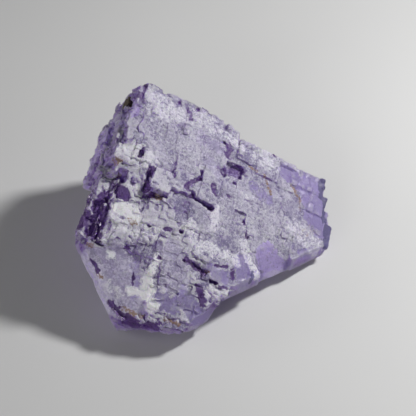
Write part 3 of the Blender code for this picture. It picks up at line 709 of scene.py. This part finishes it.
@dataclass(frozen=True)
class FrostedFluorite:
    """Violet fluorite: frosted treads, glassy cleavages, white crust, deep violet hollows and rust, with
    painted shade in the recesses and on the right edge and a painted glow where light would pass through.
    """

    tread: Colour = (0.22, 0.19, 0.35)
    tread_light: Colour = (0.52, 0.50, 0.62)
    side: Colour = (0.31, 0.18, 0.56)
    side_pale: Colour = (0.56, 0.41, 0.86)
    crust: Colour = (0.71, 0.70, 0.775)
    thick_crust: Colour = (0.84, 0.835, 0.88)
    # Deep violet of the crystal, also used for the painted shade in the recesses.
    violet: Colour = (0.16, 0.055, 0.34)
    clear: Colour = (0.42, 0.34, 0.70)
    # Painted glow colour, for light passing through the crystal.
    bright: Colour = (0.62, 0.50, 0.95)
    haze: Colour = (0.62, 0.58, 0.76)
    haze_dark: Colour = (0.38, 0.34, 0.52)
    rust: Colour = (0.28, 0.175, 0.125)
    # Painted shade colour for the right edge and the corner cube.
    dusk: Colour = (0.13, 0.115, 0.28)
    glow: Colour = (0.66, 0.50, 0.92)
    density: float = 35.0
    refraction: float = 1.434
    glow_share: float = 0.5
    glow_radius: Colour = (1.0, 0.75, 1.3)
    glow_reach: float = 1.5
    relief: float = 0.15
    relief_share: float = 0.85

    def marks(self, n: Nodes) -> Marks:
        """Reads the zones that the mesh stores and gives them ragged edges.

        Args:
            n: The nodes of the material.

        Returns:
            What the colour, the gloss and the relief are made from.
        """
        fine = n.noise(0.45, 4.0, 0.65)
        ragged = n.math("SUBTRACT", n.noise(0.8, 5.0, 0.75, 3.0), 0.5)
        zones = {}
        for zone in Zone:
            edge = n.math("MULTIPLY", ragged, 2.2 if zone is Zone.CRUST else 1.1)
            zones[zone] = n.ramp(n.math("ADD", n.attribute(zone.value), edge), 0.38, 0.62)
        tread = n.ramp(n.attribute("tread"), 0.55, 0.85)
        # The depth below the skin around sets hollow, where violet painted shade goes, and ridge, where the
        # edges turn paler.
        depth = n.math("ADD", n.attribute("cavity"), n.math("MULTIPLY", ragged, 0.32))
        hollow = n.ramp(depth, 0.08, 0.2)
        ridge = n.ramp(depth, -0.04, -0.14)
        swells = n.math("MULTIPLY", n.math("SUBTRACT", n.noise(3.2, 2.0, 0.5, 5.0), 0.5), 0.5)
        flecks = n.ramp(n.math("ADD", n.noise(0.5, 4.0, 0.75, 7.0), swells), 0.42, 0.58)
        return Marks(zones, tread, hollow, ridge, flecks, fine)

    def frost(self, n: Nodes, marks: Marks) -> bpy.types.NodeSocket:
        """Colours the treads: grey violet with sugary flecks and thin growth plates.

        Args:
            n: The nodes of the material.
            marks: What they read.

        Returns:
            The colour.
        """
        sugar = n.math("MULTIPLY", marks.zones[Zone.SUGAR], n.ramp(marks.fine, 0.5, 0.6))
        colour = n.mix(marks.flecks, self.tread, self.tread_light)
        colour = n.tint(colour, sugar, 0.75, self.crust)
        return n.tint(colour, n.attribute("island"), 0.75, self.crust)

    def growth_bands(self, n: Nodes, marks: Marks) -> bpy.types.NodeSocket:
        """Colours the sides: bands of paler and deeper violet, and a few hazy places.

        Args:
            n: The nodes of the material.
            marks: What they read.

        Returns:
            The colour.
        """
        wobble = n.math("MULTIPLY", n.math("SUBTRACT", marks.fine, 0.5), 0.5)
        streaks = n.ramp(n.math("ADD", n.attribute("band"), wobble), 0.36, 0.62)
        hazy = n.ramp(n.noise(5.0, 4.0, 0.65, 19.0), 0.5, 0.62, 0.0, 0.3)
        return n.mix(hazy, n.mix(streaks, self.side, self.side_pale), self.haze_dark)

    def crusted(self, n: Nodes, marks: Marks, colour: object) -> bpy.types.NodeSocket:
        """Lays the white crust over a colour, with its pits and specks where it is thin.

        Args:
            n: The nodes of the material.
            marks: What they read.
            colour: The colour under the crust.

        Returns:
            The colour.
        """
        solid = n.ramp(n.attribute("crust"), 1.05, 1.35, 0.0, 0.93)
        thin = n.math("SUBTRACT", 1.0, solid)
        crumbs = n.math("MAXIMUM", n.ramp(n.noise(0.5, 4.0, 0.75, 13.0), 0.42, 0.52, 0.1, 0.95), solid)
        colour = n.tint(colour, marks.zones[Zone.CRUST], crumbs, n.mix(solid, self.crust, self.thick_crust))
        pits = n.math("MULTIPLY", n.ramp(n.noise(0.55, 3.0, 0.7, 23.0), 0.56, 0.61), marks.tread)
        colour = n.tint(colour, n.math("MULTIPLY", pits, thin), 0.5, self.haze_dark)
        specks = n.math("MULTIPLY", n.ramp(n.noise(0.7, 4.0, 0.7, 11.0), 0.60, 0.66), marks.tread)
        return n.tint(colour, n.math("MULTIPLY", specks, thin), 0.6, self.violet)

    def colour(self, n: Nodes, marks: Marks) -> bpy.types.NodeSocket:
        """Puts the colours of all the zones over each other, painted shade and painted glow among them.

        Args:
            n: The nodes of the material.
            marks: What they read.

        Returns:
            The colour.
        """
        zones = marks.zones
        colour = n.mix(marks.tread, self.growth_bands(n, marks), self.frost(n, marks))
        colour = n.tint(colour, zones[Zone.HAZE], 0.9, n.mix(marks.flecks, self.haze_dark, self.haze))
        colour = n.tint(colour, zones[Zone.CLEAR], 0.85, self.clear)
        # Painted glow: the glow places turn a paler, brighter violet for light passing through the crystal.
        colour = n.tint(colour, zones[Zone.GLOW], 0.85, self.bright)
        colour = n.tint(colour, marks.ridge, 0.4, self.crust)
        colour = self.crusted(n, marks, colour)
        # Painted shade: the recesses darken towards deep violet, partly the crystal's own colour.
        colour = n.tint(colour, marks.hollow, 0.42, self.violet)
        stain = n.ramp(n.noise(0.6, 3.0, 0.6, 17.0), 0.40, 0.56, 0.2, 0.9)
        colour = n.tint(colour, zones[Zone.RUST], stain, self.rust)
        # Deep violet of the crystal; on the risers, cracks, creases, the hollow and the dark pocket it is
        # partly painted shade.
        colour = n.tint(colour, zones[Zone.VIOLET], 0.9, self.violet)
        # Painted shade: dark blue-grey on the right edge, the tip and the corner cube.
        return n.tint(colour, zones[Zone.PAINTED_SHADE], 0.9, self.dusk)

    def material(self) -> bpy.types.Material:
        """Builds the material, which reads the zones that the mesh stores.

        Returns:
            The material.
        """
        n = Nodes("frosted_fluorite")
        marks = self.marks(n)
        through = n.blend(marks.tread, 0.5, 0.2)
        for zone, value in SEE_THROUGH.items():
            through = n.blend(marks.zones[zone], through, value)
        rough = n.blend(marks.tread, 0.38, 0.62)
        for zone, value in ROUGHNESS.items():
            rough = n.blend(marks.zones[zone], rough, value)
        height = n.blend(marks.zones[Zone.CLEAR], marks.fine, n.math("MULTIPLY", marks.fine, 0.2))
        height = n.math("ADD", height, n.math("MULTIPLY", marks.flecks, 0.4))

        n.link(self.colour(n, marks), n.shader.inputs["Base Color"])
        n.link(through, n.shader.inputs["Transmission Weight"])
        n.link(rough, n.shader.inputs["Roughness"])
        n.link(n.bump(height, self.relief, self.relief_share), n.shader.inputs["Normal"])
        n.shader.inputs["IOR"].default_value = self.refraction
        n.shader.inputs["Subsurface Weight"].default_value = self.glow_share
        n.shader.inputs["Subsurface Radius"].default_value = self.glow_radius
        n.shader.inputs["Subsurface Scale"].default_value = self.glow_reach * MM

        volume = n.tree.nodes.new("ShaderNodeVolumeAbsorption")
        volume.inputs["Color"].default_value = (*self.glow, 1.0)
        volume.inputs["Density"].default_value = self.density
        n.tree.links.new(volume.outputs["Volume"], n.output.inputs["Volume"])
        return n.material


@dataclass(frozen=True)
class DarkRock:
    """Dark brown rock with a few lighter grains."""

    dark: Colour = (0.06, 0.045, 0.033)
    light: Colour = (0.24, 0.16, 0.10)

    def material(self) -> bpy.types.Material:
        """Builds the material.

        Returns:
            The material.
        """
        n = Nodes("dark_brown_rock")
        grains = n.noise(0.5, 4.0, 0.7)
        n.link(n.mix(n.ramp(grains, 0.52, 0.72), self.dark, self.light), n.shader.inputs["Base Color"])
        n.link(n.ramp(grains, 0.3, 0.7, 0.55, 0.9), n.shader.inputs["Roughness"])
        n.link(n.bump(grains, 0.15, 0.9), n.shader.inputs["Normal"])
        return n.material


@dataclass(frozen=True)
class PaleFloor:
    """A plain pale surface."""

    colour: Colour = (0.63, 0.635, 0.64)
    shade: float = 0.97
    roughness: float = 0.6

    def material(self) -> bpy.types.Material:
        """Builds the material.

        Returns:
            The material.
        """
        n = Nodes("pale_floor")
        darker = tuple(self.shade * channel for channel in self.colour)
        n.link(n.mix(n.noise(30.0, 1.0, 0.5), self.colour, darker), n.shader.inputs["Base Color"])
        n.shader.inputs["Roughness"].default_value = self.roughness
        return n.material


@dataclass(frozen=True)
class Blocks:
    """One layer of small square steps on the faces of the cubes."""

    width: float
    height: float
    levels: tuple[float, float, float]
    seed: Seed


BLOCK_LAYERS = (
    Blocks(1.7, 0.40, (0.55, 0.4, 0.55), Seed.WIDE_BLOCKS),
    Blocks(0.9, 0.34, (0.55, 0.55, 0.55), Seed.BLOCKS),
    Blocks(0.5, 0.26, (0.5, 0.5, 0.5), Seed.SMALL_BLOCKS),
)


@dataclass
class CrystalMass:
    """The cubes grown together in parallel, with their grain.

    A pair that is named for an edge says where a fade starts and where it is whole.
    """

    lattice: Lattice
    cube_count: int = 520
    cube_sizes: Pair = (0.5, 1.5)
    cube_stretch: Pair = (0.7, 1.4)
    cube_rise: Pair = (0.06, 0.28)
    cube_wear: float = 0.05
    cube_seed: int = 7
    flat_way: float = 0.98
    deepest_cube: float = -13.0
    lowest_cube: float = 3.0
    voxel: float = 0.2
    most_triangles: int = 194000
    cell: float = 0.3
    empty: float = -40.0
    deepest_cell: float = -30.0
    slot: int = 3
    easing_reach: int = 5
    most_easing: float = 0.8
    filling: float = 0.95
    settling: float = 0.6
    bending: float = 0.95
    centre_left: Pair = (-14.0, -12.5)
    centre_right: Pair = (-2.6, -3.4)
    centre_front: Pair = (-3.0, -1.5)
    centre_back: Pair = (8.5, 7.0)
    hollow_middle: Pair = (4.3, 11.2)
    hollow_reach: Pair = (4.0, 3.0)
    tread_steps: float = 0.12
    left_steps: float = 0.4
    side_steps: float = 0.9
    flake: float = 0.3
    plate: float = 0.3
    edge_angle: float = 32.0
    finish: FrostedFluorite = field(default_factory=FrostedFluorite)

    def model_cube(self) -> bpy.types.Object:
        """Models one growth cube of width 1 with its edges a little worn.

        Returns:
            The cube.
        """
        deselect_all()
        bpy.ops.mesh.primitive_cube_add(size=1.0, location=(0, 0, 0))
        cube = bpy.context.object
        bpy.ops.object.mode_set(mode="EDIT")
        bpy.ops.mesh.select_all(action="SELECT")
        bpy.ops.mesh.bevel(offset=self.cube_wear, segments=1, affect="EDGES")
        bpy.ops.object.mode_set(mode="OBJECT")
        return cube

    @staticmethod
    def low_left(points: np.ndarray, start: float, end: float) -> np.ndarray:
        """Rises from 0 at start to 1 at end, towards the low left end of the stepped face."""
        return Grain.step(-points[:, 0] - points[:, 1], start, end)

    def square_faces(self, piece: bpy.types.Object) -> tuple[np.ndarray, np.ndarray, np.ndarray]:
        """Finds the cube faces of the mass, without its cleavages and its underside.

        Args:
            piece: The mass in lattice millimetres.

        Returns:
            The corners of each triangle, the way it faces, and its chance of a small cube.
        """
        piece.data.calc_loop_triangles()
        flat = np.zeros(len(piece.data.loop_triangles) * 3, np.int32)
        piece.data.loop_triangles.foreach_get("vertices", flat)
        corners = places(piece)[flat.reshape(-1, 3)]
        cross = np.cross(corners[:, 1] - corners[:, 0], corners[:, 2] - corners[:, 0])
        area = np.linalg.norm(cross, axis=1)
        ways = cross / np.maximum(area, 1e-9)[:, None]
        middle = corners.mean(axis=1)
        square = (np.abs(ways).max(axis=1) > self.flat_way) & (middle[:, 2] > self.deepest_cube)
        square &= self.lattice.to_world(middle)[:, 2] > self.lowest_cube * MM
        share = np.where(ways[:, 2] > self.flat_way, 0.2 + 0.5 * self.low_left(middle, 4.0, 18.0), 2.0)
        weights = area * square * share
        return corners, ways, weights / weights.sum()

    def grow_cubes(self, piece: bpy.types.Object) -> None:
        """Adds small cubes to the edges and faces of the big ones.

        Args:
            piece: The mass in lattice millimetres.
        """
        rng = np.random.default_rng(self.cube_seed)
        corners, ways, weights = self.square_faces(piece)
        cube = self.model_cube()
        copies = []
        for index in rng.choice(len(weights), self.cube_count, p=weights):
            shares = rng.dirichlet((1.0, 1.0, 1.0))
            middle = shares @ corners[index]
            axis = int(np.abs(ways[index]).argmax())
            sizes = rng.uniform(*self.cube_sizes) * rng.uniform(*self.cube_stretch, 3)
            out = rng.uniform(*self.cube_rise) - sizes[axis] / 2
            middle[axis] += np.sign(ways[index, axis]) * out
            copy = cube.copy()
            copy.data = cube.data.copy()
            copy.data.transform(Matrix.Translation(middle) @ Matrix.Diagonal((*sizes, 1.0)))
            bpy.context.scene.collection.objects.link(copy)
            copies.append(copy)
        bpy.data.objects.remove(cube)
        select_only(piece)
        for copy in copies:
            copy.select_set(True)
        bpy.ops.object.join()

    def strengths(self, points: np.ndarray) -> dict[Zone, np.ndarray]:
        """Says how strongly each zone shows at each point.

        Args:
            points: Points in the lattice, one a row.

        Returns:
            For each zone a number for each point, from 0 to 1, or more where crust lies thick.
        """
        ragged = Grain.layered(points, (1.0, 1.3, Seed.RAGGED), (0.5, 0.6, Seed.FINE_RAGGED)) - 0.75
        found = {zone: np.zeros(len(points)) for zone in Zone}
        bent = points + 1.2 * (Grain.soft(points, 1.6, Seed.BENT) - 0.5)[:, None]
        square = Grain.cells(np.floor(bent / 0.6), Seed.SQUARE) - 0.5
        for patch in PATCHES.values():
            start, end = np.array(patch.start), np.array(patch.end)
            run = end - start
            share = np.clip((points - start) @ run / (run @ run), 0, 1)
            gap = (points - (start + share[:, None] * run)) * (1.0, 1.0, 0.65)
            size = min(patch.radius, 1.4)
            apart = np.linalg.norm(gap, axis=1) + (0.8 * ragged + 0.5 * square) * size
            mask = 1 - Grain.step(apart, 0.6 * patch.radius, 1.25 * patch.radius)
            found[patch.zone] = np.maximum(found[patch.zone], patch.strength * mask)
        return found

    @staticmethod
    def spread(grid: np.ndarray, reach: int, pick: Callable[..., np.ndarray]) -> np.ndarray:
        """Combines each cell of a grid with the cells around it.

        Args:
            grid: The grid.
            reach: How many cells it looks to each side.
            pick: What it takes of them: the highest, the lowest or the mean.

        Returns:
            The new grid.
        """
        for axis in (0, 1):
            margin = [(reach, reach) if axis == side else (0, 0) for side in (0, 1)]
            padded = np.pad(grid, margin, mode="edge")
            rows = range(grid.shape[axis])
            shifted = [np.take(padded, [row + k for row in rows], axis=axis) for k in range(2 * reach + 1)]
            grid = pick(np.stack(shifted), axis=0)
        return grid

    @staticmethod
    def sample(grid: np.ndarray, spots: np.ndarray) -> np.ndarray:
        """Reads a grid between its cells.

        Args:
            grid: The grid.
            spots: Places counted in cells, one a row.

        Returns:
            The value at each place.
        """
        last = np.array(grid.shape) - 2
        base = np.clip(np.floor(spots - 0.5).astype(int), 0, last)
        part = np.clip(spots - 0.5 - base, 0, 1)
        total = np.zeros(len(spots))
        for corner in product((0, 1), repeat=2):
            share = np.prod(np.where(np.array(corner) == 1, part, 1 - part), axis=1)
            total += share * grid[base[:, 0] + corner[0], base[:, 1] + corner[1]]
        return total

    def level_out(self, points: np.ndarray, ways: np.ndarray) -> np.ndarray:
        """Fills the narrow slots of the stepped face and eases its steps.

        The named cracks stay open. The cubes in the centre keep their steps, and the hollow most of its
        depth.

        Args:
            points: The vertices in the lattice.
            ways: The way each one faces in the lattice.

        Returns:
            Where each vertex goes.
        """
        # The highest point of the face in each cell of a grid, with its narrow slots closed.
        u, v, w = points.T
        spots = (points[:, :2] - points[:, :2].min(axis=0)) / self.cell
        cells = spots.astype(int)
        top = np.full(cells.max(axis=0) + 1, self.empty)
        np.maximum.at(top, (cells[:, 0], cells[:, 1]), w)
        closed = self.spread(self.spread(top, self.slot, np.max), self.slot, np.min)
        fall = np.clip(self.spread(closed, 1, np.max) - self.spread(closed, 1, np.min), 0, 4) / 2

        # How far each cell lies below the mean height around it, and where the grid is whole.
        inside = closed > self.deepest_cell
        held = inside.astype(float)
        broad = closed * held
        for _ in range(2):
            broad = self.spread(broad, self.easing_reach, np.mean)
            held = self.spread(held, self.easing_reach, np.mean)
        ease = np.clip(broad / np.maximum(held, 0.05) - closed, -self.most_easing, self.most_easing)
        ease = np.where(inside, ease, 0.0)
        whole = Grain.step(self.sample(held, spots), 0.86, 0.98)

        # The cubes in the centre, the hollow, and the points that are on the face or in a slot of it.
        tall = Grain.step(u, *self.centre_left) * Grain.step(u, *self.centre_right)
        tall *= Grain.step(v, *self.centre_front) * Grain.step(v, *self.centre_back)
        (middle_u, middle_v), (reach_u, reach_v) = self.hollow_middle, self.hollow_reach
        vug = Grain.step(np.hypot((u - middle_u) / reach_u, (v - middle_v) / reach_v), 1.1, 0.9)
        upward = Grain.step(ways[:, 2], -0.25, -0.05)
        deep = np.maximum(self.sample(closed, spots), w) - w
        near = upward * (1 - Grain.step(deep, 1.5, 3.0))
        slot = np.clip(deep - np.minimum(0.55 * self.sample(fall, spots), 0.15) - 0.03, 0, 2)
        crack = self.strengths(points)[Zone.VIOLET]

        # The slots are filled, the steps eased, the hollow made shallower and straight lines bent.
        moved = points.copy()
        moved[:, 2] += near * self.filling * (1 - crack) * (1 - vug) * slot
        settling = self.settling + 0.3 * self.low_left(points, 2.0, 10.0)
        moved[:, 2] += near * whole * settling * (1 - tall) * (1 - vug) * self.sample(ease, spots)
        moved[:, 2] += 0.45 * vug * np.clip(-0.3 - w, 0, 3)
        loose = near * whole * (1 - tall) * (1 - vug) * (0.3 + 0.7 * self.low_left(points, 0.0, 6.0))
        for axis in (0, 1):
            layers = (1.0, 2.6, Seed.BENDING + axis), (0.4, 1.0, Seed.FINE_BENDING + axis)
            moved[:, axis] += self.bending * loose * (Grain.layered(points, *layers) - 0.7)
        return moved

    def roughen(self, points: np.ndarray, ways: np.ndarray) -> np.ndarray:
        """Breaks the faces up into small square steps, flakes and growth plates.

        Args:
            points: The vertices in the lattice.
            ways: The way each one faces in the lattice.

        Returns:
            Where each vertex goes.
        """
        zones = self.strengths(points)
        calm = 1 - 0.85 * np.maximum(zones[Zone.CLEAR], zones[Zone.HAZE])
        calm *= 1 - 0.8 * Grain.step(zones[Zone.CRUST], 1.0, 1.4)
        u, v, w = points.T
        moved = points.copy()
        tread_steps = self.tread_steps + self.left_steps * Grain.step(-u, 12.0, 17.0)
        for axis, (across, deep) in enumerate(((v, w), (u, w), (u, v))):
            facing = Grain.step(np.abs(ways[:, axis]), 0.75, 0.93)
            sign = np.sign(ways[:, axis])
            height = np.zeros(len(points))
            for layer in BLOCK_LAYERS:
                squares = Grain.blocks(across, deep, layer.width, layer.seed + axis)
                height += layer.height * (squares - layer.levels[axis])
            moved[:, axis] += sign * facing * calm * height * (tread_steps if axis == 2 else self.side_steps)
        cleaved = (1 - Grain.step(np.abs(ways).max(axis=1), 0.86, 0.95)) * Grain.step(-w, 5.0, 7.0)
        flakes = self.flake * cleaved * (1 - 0.8 * zones[Zone.HAZE]) * (self.chips(points) - 1)
        moved += ways * flakes[:, None]
        open_face = Grain.step(ways[:, 2], 0.5, 0.8) * (0.35 + 0.65 * self.low_left(points, 2.0, 12.0))
        moved[:, 2] += self.plate * open_face * calm * (self.islands(points) - 0.5)
        return moved

    @staticmethod
    def chips(points: np.ndarray) -> np.ndarray:
        """Counts the thin flakes that lie on each place of a cleavage.

        Args:
            points: The vertices in the lattice.

        Returns:
            From 0 to 2 flakes.
        """
        drawn = points * (0.4, 0.8, 1.3)
        pattern = Grain.layered(drawn, (1.0, 3.2, Seed.FLAKES), (0.45, 1.1, Seed.SMALL_FLAKES))
        return Grain.step(pattern, 0.58, 0.62) + Grain.step(pattern, 0.82, 0.86)

    @staticmethod
    def bands(points: np.ndarray) -> np.ndarray:
        """Lays out the layers of paler and deeper violet in which the cubes grew.

        Args:
            points: The vertices in the lattice.

        Returns:
            From 0, deep, to 1, pale.
        """
        depth = points[:, 2:] + 1.6 * Grain.soft(points, 7.0, Seed.LAYER_BEND)[:, None]
        return Grain.layered(depth, (1.0, 1.5, Seed.LAYERS), (0.6, 0.6, Seed.FINE_LAYERS)) / 1.6

    @classmethod
    def islands(cls, points: np.ndarray) -> np.ndarray:
        """Lays out the thin ragged growth plates.

        Args:
            points: The vertices in the lattice.

        Returns:
            1 on a plate and 0 beside it.
        """
        large, small = (1.0, 2.6, Seed.PLATES), (0.6, 1.1, Seed.SMALL_PLATES)
        pattern = Grain.layered(points, large, small, (0.35, 0.55, Seed.FINE_PLATES))
        return Grain.step(pattern + 0.08 * cls.low_left(points, 0.0, 10.0), 0.93, 0.99)

    def grain(self, points: np.ndarray, ways: np.ndarray) -> np.ndarray:
        """Adds the finest relief to the finished skin.

        Args:
            points: The vertices in the lattice.
            ways: The way each one faces in the lattice.

        Returns:
            Where each vertex goes.
        """
        zones = self.strengths(points)
        height = 0.10 * (Grain.soft(points, 0.45, Seed.GRAIN) - 0.5) * (1 - 0.9 * zones[Zone.CLEAR])
        sugared = np.maximum(zones[Zone.SUGAR], zones[Zone.CRUST])
        height += 0.11 * (Grain.soft(points, 0.6, Seed.SUGAR) - 0.5) * sugared
        height += 0.05 * zones[Zone.CRUST] - 0.22 * zones[Zone.VIOLET]
        height += 0.12 * (Grain.soft(points, 3.0, Seed.SWELLS) - 0.5)
        return points + ways * height[:, None]

    def cavity(self, piece: bpy.types.Object, rounds: int = 12) -> np.ndarray:
        """Measures how deep each vertex lies under the skin around it.

        Args:
            piece: The mass in lattice millimetres.
            rounds: How wide the comparison is.

        Returns:
            The depth in millimetres, below 0 on edges and ridges.
        """
        points = places(piece)
        flat = np.zeros(len(piece.data.edges) * 2, np.int32)
        piece.data.edges.foreach_get("vertices", flat)
        first, second = flat.reshape(-1, 2).T
        neighbours = np.maximum(np.bincount(flat, minlength=len(points)), 1)
        smooth = points.copy()
        for _ in range(rounds):
            total = np.zeros_like(points)
            for axis in range(3):
                total[:, axis] += np.bincount(first, smooth[second, axis], len(points))
                total[:, axis] += np.bincount(second, smooth[first, axis], len(points))
            smooth = total / neighbours[:, None]
        return ((smooth - points) * directions(piece)).sum(axis=1)

    def build(self) -> bpy.types.Object:
        """Builds and dresses the mass.

        Returns:
            The finished piece.
        """
        piece = copy_solid("fluorite", "crystal_mass")
        world = places(piece)
        low, high = world.min(axis=0), world.max(axis=0)
        place(piece, self.lattice.from_world(world))
        self.grow_cubes(piece)
        remesh(piece, self.voxel)
        place(piece, self.level_out(places(piece), directions(piece)))
        place(piece, self.roughen(places(piece), directions(piece)))
        thin_out(piece, self.most_triangles)
        place(piece, self.grain(places(piece), directions(piece)))
        points = places(piece)
        for zone, values in self.strengths(points).items():
            set_attribute(piece, zone.value, values)
        set_attribute(piece, "tread", directions(piece)[:, 2])
        set_attribute(piece, "band", self.bands(points))
        plates = self.islands(points) * (0.25 + 0.75 * self.low_left(points, 0.0, 10.0))
        set_attribute(piece, "island", plates)
        # The depth under the skin drives the painted shade in the recesses.
        set_attribute(piece, "cavity", self.cavity(piece))
        place(piece, np.clip(self.lattice.to_world(points), low, high))
        select_only(piece)
        bpy.ops.object.shade_smooth_by_angle(angle=math.radians(self.edge_angle))
        piece.data.materials.clear()
        piece.data.materials.append(self.finish.material())
        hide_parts("fluorite")
        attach(piece, "root")
        LOG.info("crystal mass: %d faces", len(piece.data.polygons))
        return piece


@dataclass
class MatrixChip:
    """The sliver of dark rock in the left wall."""

    lattice: Lattice
    cuts: int = 5
    relief: float = 0.35
    inset: float = 0.1
    edge_angle: float = 28.0
    finish: DarkRock = field(default_factory=DarkRock)

    def build(self) -> bpy.types.Object:
        """Builds and dresses the sliver.

        Returns:
            The finished piece.
        """
        piece = copy_solid("matrix_chip", "rock_sliver")
        world = places(piece)
        low, high = world.min(axis=0), world.max(axis=0)
        select_only(piece)
        bpy.ops.object.mode_set(mode="EDIT")
        bpy.ops.mesh.select_all(action="SELECT")
        bpy.ops.mesh.subdivide(number_cuts=self.cuts, smoothness=0.0)
        bpy.ops.object.mode_set(mode="OBJECT")
        points = self.lattice.from_world(places(piece))
        rough = Grain.layered(points, (1.0, 0.7, Seed.ROCK), (0.5, 0.35, Seed.FINE_ROCK)) - 0.75
        out = self.relief * rough - self.inset
        points = points + directions(piece) @ self.lattice.axes.T * out[:, None]
        place(piece, np.clip(self.lattice.to_world(points), low, high))
        bpy.ops.object.shade_smooth_by_angle(angle=math.radians(self.edge_angle))
        piece.data.materials.append(self.finish.material())
        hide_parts("matrix_chip")
        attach(piece, "root")
        LOG.info("rock sliver: %d faces", len(piece.data.polygons))
        return piece


@dataclass
class Studio:
    """The floor, the light and the camera."""

    target: Point = (0.000177, 0.001988, 0.012)
    camera_way: Point = (0.0, -1.0, 1.0)
    camera_distance: float = 0.3204
    lens: float = 134.9
    sensor_width: float = 36.0
    nearest: float = 0.01
    floor_width: float = 6.0
    lamp_colour: Colour = (1.0, 0.99, 0.975)
    sky_colour: Colour = (0.95, 0.97, 1.0)
    light_way: Point = (0.65, 0.22, 0.707)
    light_distance: float = 0.26
    light_size: float = 0.042
    light_power: float = 0.7
    fill_way: Point = (-0.42, -0.88, 0.24)
    fill_distance: float = 0.6
    fill_size: float = 0.4
    fill_power: float = 1.35
    side_way: Point = (-0.95, 0.0, 0.16)
    side_distance: float = 0.5
    side_size: float = 0.3
    side_power: float = 0.8
    ambient: float = 0.05

    def add_lamp(self, name: str, way: Point, distance: float, size: float, power: float) -> None:
        """Adds a round softbox that faces the specimen.

        Args:
            name: Its name.
            way: The direction from the specimen to it.
            distance: How far off it is.
            size: How wide it is.
            power: How bright it is.
        """
        lamp = bpy.data.lights.new(name, "AREA")
        lamp.shape = "DISK"
        lamp.size = size
        lamp.energy = power
        lamp.color = self.lamp_colour
        box = bpy.data.objects.new(name, lamp)
        towards = Vector(way).normalized()
        box.location = Vector(self.target) + towards * distance
        box.rotation_euler = towards.to_track_quat("Z", "Y").to_euler()
        bpy.context.scene.collection.objects.link(box)

    def build(self) -> None:
        """Sets up the floor, the light and the camera."""
        deselect_all()
        bpy.ops.mesh.primitive_plane_add(size=self.floor_width, location=(0, 0, 0))
        floor = bpy.context.object
        floor.name = "floor"
        floor.data.materials.append(PaleFloor().material())

        self.add_lamp("softbox", self.light_way, self.light_distance, self.light_size, self.light_power)
        self.add_lamp("fill", self.fill_way, self.fill_distance, self.fill_size, self.fill_power)
        self.add_lamp("side light", self.side_way, self.side_distance, self.side_size, self.side_power)

        world = bpy.data.worlds.new("studio")
        world.use_nodes = True
        background = world.node_tree.nodes["Background"]
        background.inputs["Color"].default_value = (*self.sky_colour, 1.0)
        background.inputs["Strength"].default_value = self.ambient
        bpy.context.scene.world = world

        camera = bpy.data.objects.new("camera", bpy.data.cameras.new("camera"))
        camera.data.lens = self.lens
        camera.data.sensor_width = self.sensor_width
        camera.data.clip_start = self.nearest
        back = Vector(self.camera_way).normalized()
        camera.location = Vector(self.target) + back * self.camera_distance
        camera.rotation_euler = back.to_track_quat("Z", "Y").to_euler()
        bpy.context.scene.collection.objects.link(camera)
        bpy.context.scene.camera = camera
        bpy.context.scene.view_settings.view_transform = "Standard"
        LOG.info("studio ready")


def main() -> None:
    """Builds the specimen and the studio."""
    logging.basicConfig(level=logging.INFO, format="%(message)s")
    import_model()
    lattice = Lattice()
    CrystalMass(lattice).build()
    MatrixChip(lattice).build()
    Studio().build()


if __name__ == "__main__":
    main()
